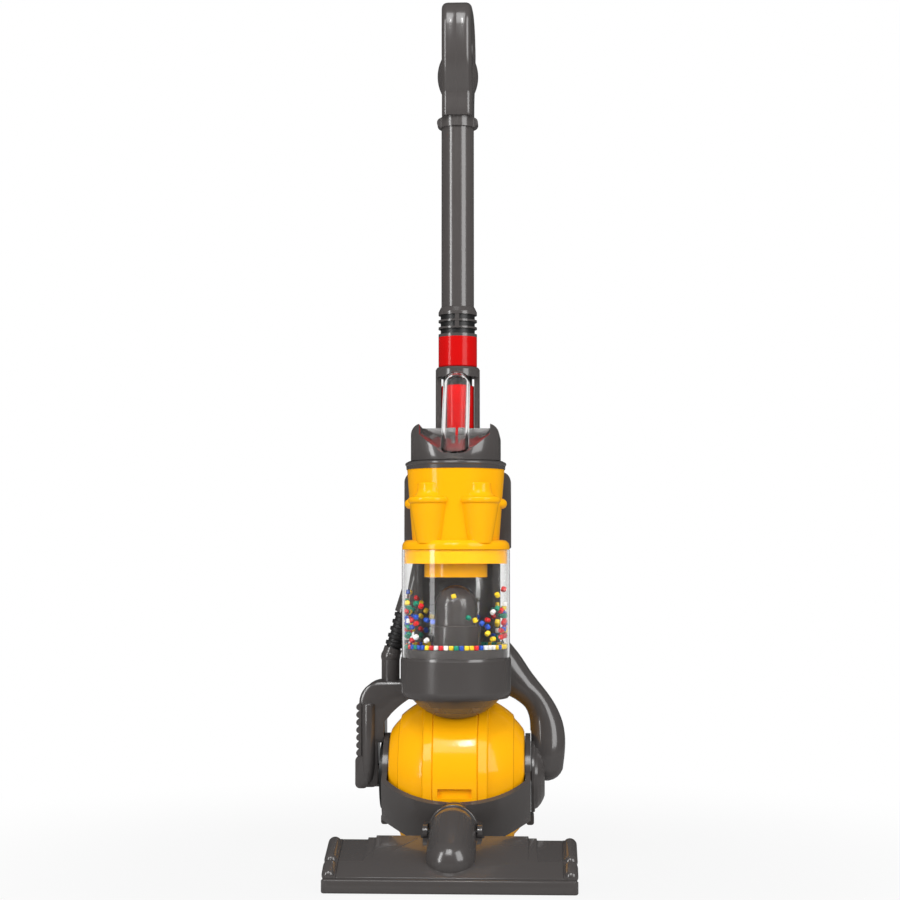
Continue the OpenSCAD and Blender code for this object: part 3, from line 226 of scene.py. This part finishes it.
def paint_shade(name, reach_mm, rise_mm, slot):
    """Paints shade on the faces of a turned solid between two radii and two heights, as a second finish."""
    mesh = NODES[name].data
    mesh.materials.append(MATERIALS[slot])
    place = NODES[name].matrix_world
    for face in mesh.polygons:
        spots = [place @ mesh.vertices[i].co / MM for i in face.vertices]
        reach = sum(math.hypot(p.x, p.y - WAND_Y) for p in spots) / len(spots)
        rise = sum(p.z for p in spots) / len(spots)
        if reach_mm[0] < reach < reach_mm[1] and rise_mm[0] < rise < rise_mm[1]:
            face.material_index = 1


# Black plastic on these faces is painted shade in the slots and the gap
for name, (radii, heights) in PAINTED_SHADE_SPANS.items():
    paint_shade(name, radii, heights, "black_plastic")

# Angles in degrees: shaded as an edge, rounded as an edge, and taken as flat
SHARP_ANGLE = 38.0
EDGE_ANGLE = 32.0
FLAT_ANGLE = 1.0
# Points that lie closer than this are joined
WELD_GAP = 0.01 * MM

# Solids with moulded edges, and the width of each edge in millimetres
SOFT_EDGES = {
    "side_pod": 1.6,
    "pod_grip_strip": 0.5,
    "top_cover": 0.9,
    "head_bumper": 0.8,
    "head_sole_plate": 0.6,
    "back_spine": 0.9,
    "battery_cover": 0.4,
    "handle_left_shell": 0.3,
    "handle_right_shell": 0.3,
    "beads_red": 0.5,
    "beads_blue": 0.5,
    "beads_green": 0.5,
    "beads_yellow": 0.5,
    "beads_white": 0.5,
}
# Solids of many small faces, which are only shaded smooth
FACETED = ("air_duct", "neck_elbow", "head_end_cap_left", "head_end_cap_right")
# The head keeps a soft crease where its two shallow slopes meet: its width in millimetres, and the angle
HEAD_EDGE = 0.8
HEAD_CREASE_ANGLE = 8.0


def smooth_group(angle_deg):
    """A modifier tree that shades faces smooth and keeps edges sharper than an angle."""
    tree = bpy.data.node_groups.new("smooth_by_angle", "GeometryNodeTree")
    tree.interface.new_socket("Geometry", in_out="INPUT", socket_type="NodeSocketGeometry")
    tree.interface.new_socket("Geometry", in_out="OUTPUT", socket_type="NodeSocketGeometry")
    start = tree.nodes.new("NodeGroupInput")
    end = tree.nodes.new("NodeGroupOutput")
    faces = tree.nodes.new("GeometryNodeSetShadeSmooth")
    edges = tree.nodes.new("GeometryNodeSetShadeSmooth")
    edges.domain = "EDGE"
    edges.inputs["Shade Smooth"].default_value = False
    angle = tree.nodes.new("GeometryNodeInputMeshEdgeAngle")
    compare = tree.nodes.new("FunctionNodeCompare")
    compare.inputs[1].default_value = math.radians(angle_deg)
    tree.links.new(start.outputs[0], faces.inputs["Geometry"])
    tree.links.new(faces.outputs["Geometry"], edges.inputs["Geometry"])
    tree.links.new(angle.outputs["Unsigned Angle"], compare.inputs[0])
    tree.links.new(compare.outputs["Result"], edges.inputs["Selection"])
    tree.links.new(edges.outputs["Geometry"], end.inputs[0])
    return tree


SMOOTH = smooth_group(SHARP_ANGLE)


def soften(obj, edge_mm=0.0, segments=2, angle_deg=EDGE_ANGLE):
    """Joins a solid's faces, rounds its edges by a width and shades it smooth."""
    normals = obj.data.attributes.get("custom_normal")
    if normals:
        obj.data.attributes.remove(normals)
    weld = obj.modifiers.new("weld", "WELD")
    weld.merge_threshold = WELD_GAP
    if edge_mm:
        flat = obj.modifiers.new("flat", "DECIMATE")
        flat.decimate_type = "DISSOLVE"
        flat.angle_limit = math.radians(FLAT_ANGLE)
        bevel = obj.modifiers.new("edges", "BEVEL")
        bevel.width = edge_mm * MM
        bevel.segments = segments
        bevel.limit_method = "ANGLE"
        bevel.angle_limit = math.radians(angle_deg)
        bevel.miter_outer = "MITER_ARC"
    smooth = obj.modifiers.new("smooth", "NODES")
    smooth.node_group = SMOOTH


for name, width in SOFT_EDGES.items():
    soften(NODES[name], width)
for name in FACETED:
    soften(NODES[name])
soften(NODES["head_top_shell"], HEAD_EDGE, segments=3, angle_deg=HEAD_CREASE_ANGLE)

# Steps in each circle of the turned pieces
TURN_STEPS = 72
# Bells: places to the side and ahead of the cyclone's axis, in millimetres
BELL_X = 18.7
BELL_AHEAD = 26.5
# Radius of a bell, and height over the lowest point of the cyclone's body, from foot to top in millimetres
BELL_PROFILE = (
    (0.0, -2.5), (9.6, -2.5), (14.9, 27.2), (15.8, 28.0), (16.2, 28.6), (16.2, 31.2), (15.7, 31.9),
    (14.2, 32.2), (12.2, 32.9), (10.6, 34.3), (9.6, 36.3), (9.2, 38.6), (9.2, 42.2), (8.5, 43.0), (0.0, 43.0),
)


def circle(reach):
    """The points of a circle round the origin."""
    angles = [2.0 * math.pi * step / TURN_STEPS for step in range(TURN_STEPS)]
    return [(reach * math.cos(angle), reach * math.sin(angle)) for angle in angles]


def ring_faces(first, rings):
    """Faces between one circle of points and the next, from the number of the first point on."""
    faces = []
    for ring in range(rings - 1):
        low = first + ring * TURN_STEPS
        for step in range(TURN_STEPS):
            after = (step + 1) % TURN_STEPS
            faces.append((low + step, low + after, low + TURN_STEPS + after, low + TURN_STEPS + step))
    return faces


def new_object(name, verts, faces):
    """An object in the scene with a mesh of these points and faces."""
    mesh = bpy.data.meshes.new(name)
    mesh.from_pydata(verts, [], faces)
    obj = bpy.data.objects.new(name, mesh)
    bpy.context.scene.collection.objects.link(obj)
    return obj


def turned(name, profile, centres, base_z):
    """Turns one profile about an upright line at each centre, as one mesh."""
    verts = []
    faces = []
    for x, y in centres:
        faces += ring_faces(len(verts), len(profile))
        for reach, rise in profile:
            for across, along in circle(reach):
                spot = Vector((x + across, y + along, rise)) * MM
                verts.append(spot + Vector((0.0, 0.0, base_z)))
    return new_object(name, verts, faces)


def add_front_bells():
    """The two front bells stand out of the cyclone so far that their rims nearly meet."""
    low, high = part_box("cyclone_rim")
    axis_y = (low[1] + high[1]) / 2.0 / MM
    centres = [(side * BELL_X, axis_y - BELL_AHEAD) for side in (-1, 1)]
    bells = turned("front_bells", BELL_PROFILE, centres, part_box("cyclone_body")[0][2])
    bells.data.materials.append(MATERIALS["yellow_plastic"])
    soften(bells)
    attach(bells, "upright")


def shade_disc(name, low_x, high_x, reach_mm):
    """A black disc round the axle between two places across the width, as painted shade in a gap by the ball.
    """
    low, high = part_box("ball_axle")
    mid_y = (low[1] + high[1]) / 2.0
    mid_z = (low[2] + high[2]) / 2.0
    rim = circle(reach_mm * MM)
    verts = [(x, mid_y + along, mid_z + up) for x in (low_x, high_x) for along, up in rim]
    near = list(range(TURN_STEPS))
    far = [TURN_STEPS + step for step in near]
    piece = new_object(name, verts, [near[::-1], far] + ring_faces(0, 2))
    piece.data.materials.append(MATERIALS["black_plastic"])
    soften(piece)
    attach(piece, "yoke")


add_front_bells()

BALL_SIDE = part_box("ball_right_shell")[1][0]
HUB_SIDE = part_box("duct_hub")[0][0]
# Black discs of painted shade in the gaps by the ball: the two faces of each across the width in metres, and
# its radius in millimetres
SHADE_DISCS = {
    "right_inner_shade_disc": (BALL_SIDE + 0.15 * MM, BALL_SIDE + 0.55 * MM, 31.0),
    "right_outer_shade_disc": (HUB_SIDE - 0.32 * MM, HUB_SIDE - 0.08 * MM, 27.0),
    "left_inner_shade_disc": (-BALL_SIDE - 0.55 * MM, -BALL_SIDE - 0.15 * MM, 31.0),
    "left_outer_shade_disc": (-HUB_SIDE - 2.6 * MM, -HUB_SIDE + 0.2 * MM, 25.5),
}
for name, (low_x, high_x, radius) in SHADE_DISCS.items():
    shade_disc(name, low_x, high_x, radius)

# Camera: where it stands, its lens and sensor, how far it sees, and how it is turned up and to the left
CAMERA_PLACE = (0.0582, -1.4038, 0.236)
CAMERA_LENS = 73.3
CAMERA_SENSOR = 36.0
CAMERA_SIGHT = 50.0
CAMERA_UP_DEG = 3.34
CAMERA_LEFT_DEG = 2.544

# Floor: its side, the distances between which it fades to white, and how white it is before that
FLOOR_SIDE = 12.0
FADE_FROM = 0.15
FADE_TO = 0.6
FLOOR_WHITE = 0.90

# Strength of the surround as light, and as what mirrors see of it
WORLD_LIGHT = 0.43
WORLD_MIRRORED = 0.05

# A ray's depths are whole numbers: it has none below the first of these, and two at most below the second
DEPTH_NONE = 0.5
DEPTH_TWO = 2.5

# Places that the lamps point at
MID_BODY = (0, 0, 0.4)
LOW_BODY = (0, 0, 0.3)
BALL_FRONT = (0.009, -0.012, 0.096)


def place_camera():
    """A camera at the viewing angle of the photograph."""
    data = bpy.data.cameras.new("camera")
    data.lens = CAMERA_LENS
    data.sensor_width = CAMERA_SENSOR
    data.clip_end = CAMERA_SIGHT
    camera = bpy.data.objects.new("camera", data)
    camera.location = CAMERA_PLACE
    camera.rotation_euler = (math.radians(90.0 + CAMERA_UP_DEG), 0.0, math.radians(CAMERA_LEFT_DEG))
    bpy.context.scene.collection.objects.link(camera)
    bpy.context.scene.camera = camera


def seen_directly(tree):
    """A factor of 1 for the camera's rays, through clear parts too, until they are scattered or mirrored.

    A ray that was mirrored inside a clear wall still counts as it leaves that wall.
    """
    path = tree.nodes.new("ShaderNodeLightPath")

    def combine(operation, first, second):
        node = tree.nodes.new("ShaderNodeMath")
        node.operation = operation
        tree.links.new(first, node.inputs[0])
        if isinstance(second, float):
            node.inputs[1].default_value = second
        else:
            tree.links.new(second, node.inputs[1])
        return node.outputs[0]

    unlit = combine("LESS_THAN", path.outputs["Diffuse Depth"], DEPTH_NONE)
    unmirrored = combine("LESS_THAN", path.outputs["Glossy Depth"], DEPTH_NONE)
    one_wall = combine("LESS_THAN", path.outputs["Transmission Depth"], DEPTH_TWO)
    in_wall = combine("MULTIPLY", one_wall, path.outputs["Is Transmission Ray"])
    return combine("MULTIPLY", unlit, combine("MAXIMUM", unmirrored, in_wall))


def light_world(strength, mirrored):
    """A surround that the camera sees as white, that lights softly and that mirrors see as dim."""
    world = bpy.data.worlds.new("world")
    bpy.context.scene.world = world
    world.use_nodes = True
    tree = world.node_tree
    back = tree.nodes["Background"]
    back.inputs["Color"].default_value = rgba(WHITE)
    dim = tree.nodes.new("ShaderNodeMapRange")
    dim.inputs["To Min"].default_value = strength
    dim.inputs["To Max"].default_value = mirrored
    path = tree.nodes.new("ShaderNodeLightPath")
    tree.links.new(path.outputs["Glossy Depth"], dim.inputs["Value"])
    level = tree.nodes.new("ShaderNodeMapRange")
    tree.links.new(dim.outputs["Result"], level.inputs["To Min"])
    level.inputs["To Max"].default_value = 1.0
    tree.links.new(seen_directly(tree), level.inputs["Value"])
    tree.links.new(level.outputs["Result"], back.inputs["Strength"])


def area_light(name, place, target, size, watts, shape="RECTANGLE"):
    """A lamp of a width and height that points at a target."""
    data = bpy.data.lights.new(name, "AREA")
    data.shape = shape
    data.size, data.size_y = size
    data.energy = watts
    lamp = bpy.data.objects.new(name, data)
    lamp.location = place
    lamp.rotation_euler = (Vector(target) - Vector(place)).to_track_quat("-Z", "Y").to_euler()
    bpy.context.scene.collection.objects.link(lamp)
    return lamp


def lay_floor():
    """A pale floor that keeps the object's shadow close by and fades to white further off."""
    half = FLOOR_SIDE / 2
    corners = [(-half, -half, 0), (half, -half, 0), (half, half, 0), (-half, half, 0)]
    floor = new_object("floor", corners, [(0, 1, 2, 3)])
    n = Nodes("floor")
    reach = n.add("VectorMath", operation="LENGTH")
    n.link(n.place, reach.inputs[0])
    fade = n.add("MapRange", interpolation_type="SMOOTHSTEP")
    fade.inputs["From Min"].default_value = FADE_FROM
    fade.inputs["From Max"].default_value = FADE_TO
    fade.inputs["To Min"].default_value = FLOOR_WHITE
    n.link(reach.outputs["Value"], fade.inputs["Value"])
    seen = n.add("Math", operation="MULTIPLY")
    n.link(seen_directly(n.tree), seen.inputs[0])
    n.link(fade.outputs["Result"], seen.inputs[1])
    paint = n.add("BsdfDiffuse", Color=rgba(FLOOR_PAINT))
    white = n.add("Emission", Color=rgba(WHITE), Strength=1.0)
    finish = n.mix(seen.outputs[0], paint.outputs["BSDF"], white.outputs["Emission"])
    floor.data.materials.append(n.close(finish))


def hang_lamps():
    """Two soft lamps in front, one above them, a small one that the ball mirrors, and one behind."""
    area_light("left_strip", (-1.1, -0.95, 0.70), MID_BODY, size=(0.30, 1.2), watts=10.0)
    area_light("right_soft", (1.05, -1.0, 0.9), MID_BODY, size=(0.8, 1.2), watts=14.0)
    area_light("front_spot", (-0.033, -0.763, 1.031), BALL_FRONT, size=(0.007, 0.22), watts=0.8,
               shape="ELLIPSE")
    area_light("high_soft", (-0.2, -1.2, 1.5), LOW_BODY, size=(0.8, 0.8), watts=11.0)
    back_fill = area_light("back_fill", (0.0, 1.7, 0.6), LOW_BODY, size=(1.0, 0.8), watts=9.0)
    back_fill.visible_camera = False
    back_fill.visible_glossy = False
    back_fill.visible_transmission = False


place_camera()
lay_floor()
light_world(WORLD_LIGHT, WORLD_MIRRORED)
hang_lamps()

bpy.context.scene.view_settings.view_transform = "Standard"
